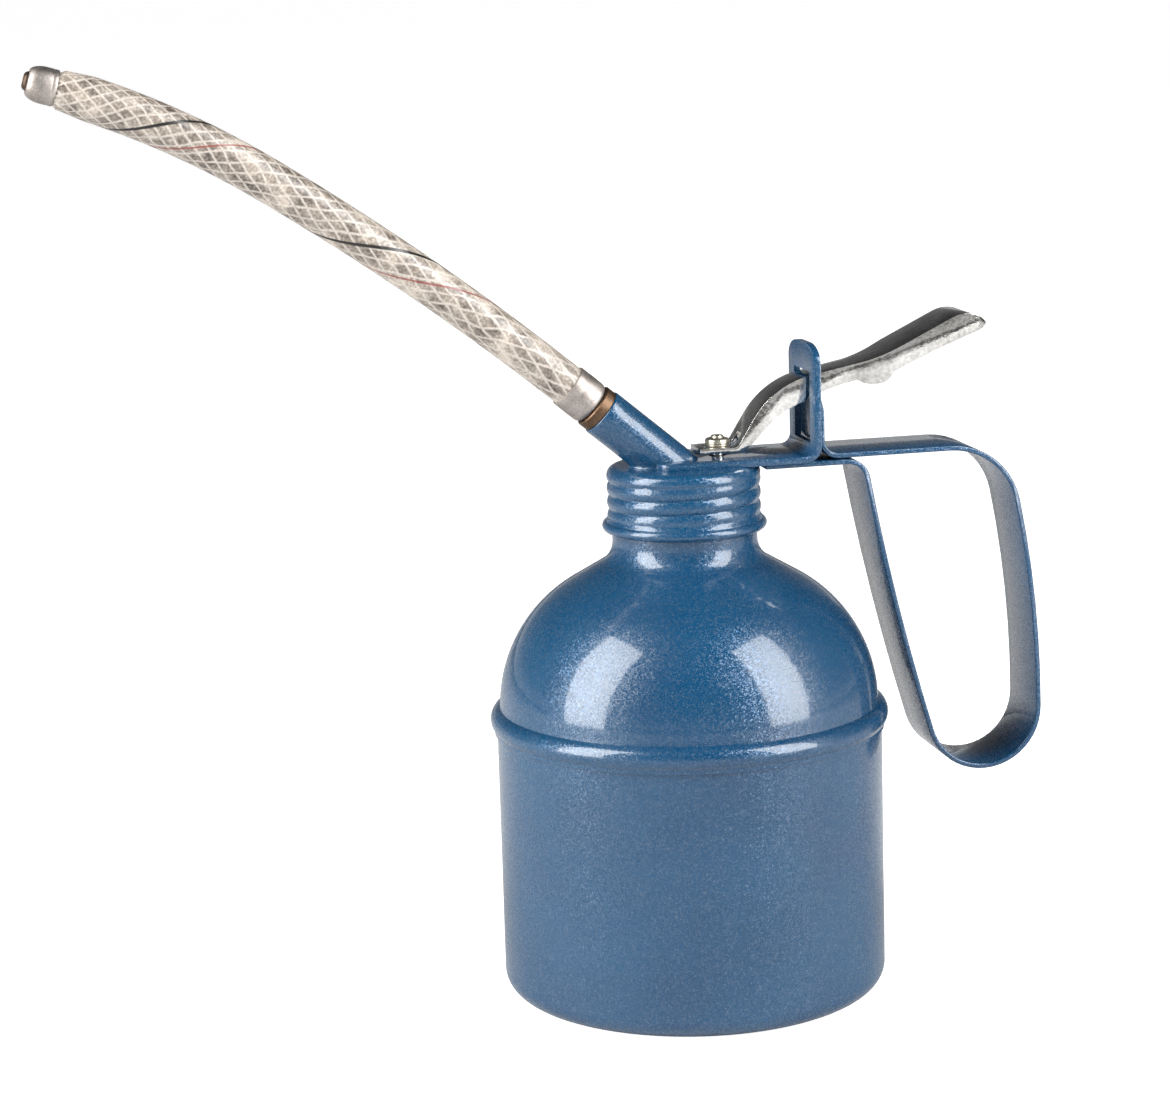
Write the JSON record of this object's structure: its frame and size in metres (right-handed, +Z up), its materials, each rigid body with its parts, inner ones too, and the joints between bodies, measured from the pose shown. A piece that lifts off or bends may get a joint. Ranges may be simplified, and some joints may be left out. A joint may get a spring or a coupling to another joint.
{
  "type": "thumb-lever pump oil can",
  "caption": "Pressed steel oil can with a screw-on piston pump: rocking thumb lever, strap handle and a stiff braided spout.",
  "frame": {"origin": "centre of the can's flat base, on the surface it stands on", "axes": "+Z up along the can's axis, -X towards the spout, +X towards the handle, Y across the lever"},
  "size_m": [0.2339, 0.095, 0.2255],
  "materials": {
    "blue_paint": "blue metallic flake stoving enamel on pressed steel",
    "chrome": "bright nickel-chrome plate on pressed steel",
    "steel": "ground bright steel",
    "aluminium": "satin crimped aluminium",
    "brass": "machined brass",
    "bronze": "dull brown bronze",
    "braided_pvc": "translucent grey-beige hose with a white yarn braid and two tracer yarns",
    "gasket": "cork-rubber sealing ring",
    "rubber": "black oil-proof rubber"
  },
  "bodies": {
    "can": {"can_body": "blue_paint", "can_dome": "blue_paint"},
    "cap_seal": {"cap_gasket": "gasket"},
    "pump_unit": {"screw_cap": "blue_paint", "spout_socket": "blue_paint", "lever_bracket": "blue_paint", "handle_strap": "blue_paint", "pump_head": "brass", "gland_packing": "rubber", "gland_nut": "brass", "pump_barrel": "brass", "foot_valve": "brass", "ball_retainer": "brass", "suction_tube": "brass", "inlet_strainer": "brass", "spout_nipple": "brass", "spout_bush": "bronze", "rear_ferrule": "aluminium", "spout_hose": "braided_pvc", "front_ferrule": "aluminium", "nozzle_tip": "bronze", "return_spring": "steel"},
    "lever": {"thumb_lever": "chrome"},
    "plunger": {"piston_rod": "steel", "rod_head": "chrome", "rod_washer": "chrome", "piston": "brass", "piston_cup": "rubber", "piston_nut": "brass"},
    "valve_ball": {"inlet_ball": "steel"}
  },
  "joints": [
    {"name": "cap_lift", "type": "slide", "parent": "can", "child": "cap_seal", "axis": [0, 0, 1], "range_m": [0, 0.0107]},
    {"name": "cap_turn", "type": "hinge", "parent": "cap_seal", "child": "pump_unit", "pos_m": [0, 0, 0.127], "axis": [0, 0, 1], "range_deg": [0, 1170]},
    {"name": "lever_press", "type": "hinge", "parent": "pump_unit", "child": "lever", "pos_m": [0.0315, 0, 0.142], "axis": [0, 1, 0], "range_deg": [0, 26]},
    {"name": "piston_stroke", "type": "slide", "parent": "pump_unit", "child": "plunger", "axis": [0, 0, 1], "range_m": [0, 0.0111], "stiffness_N_per_m": 150, "springref_m": -0.006, "deforming": ["return_spring"]},
    {"name": "ball_lift", "type": "slide", "parent": "pump_unit", "child": "valve_ball", "axis": [0, 0, 1], "range_m": [0, 0.0008]}
  ],
  "couplings": [
    {"joint": "cap_turn", "follows": "cap_lift", "rad_per_m": 1904},
    {"joint": "lever_press", "follows": "piston_stroke", "rad_per_m": 39.062}
  ]
}
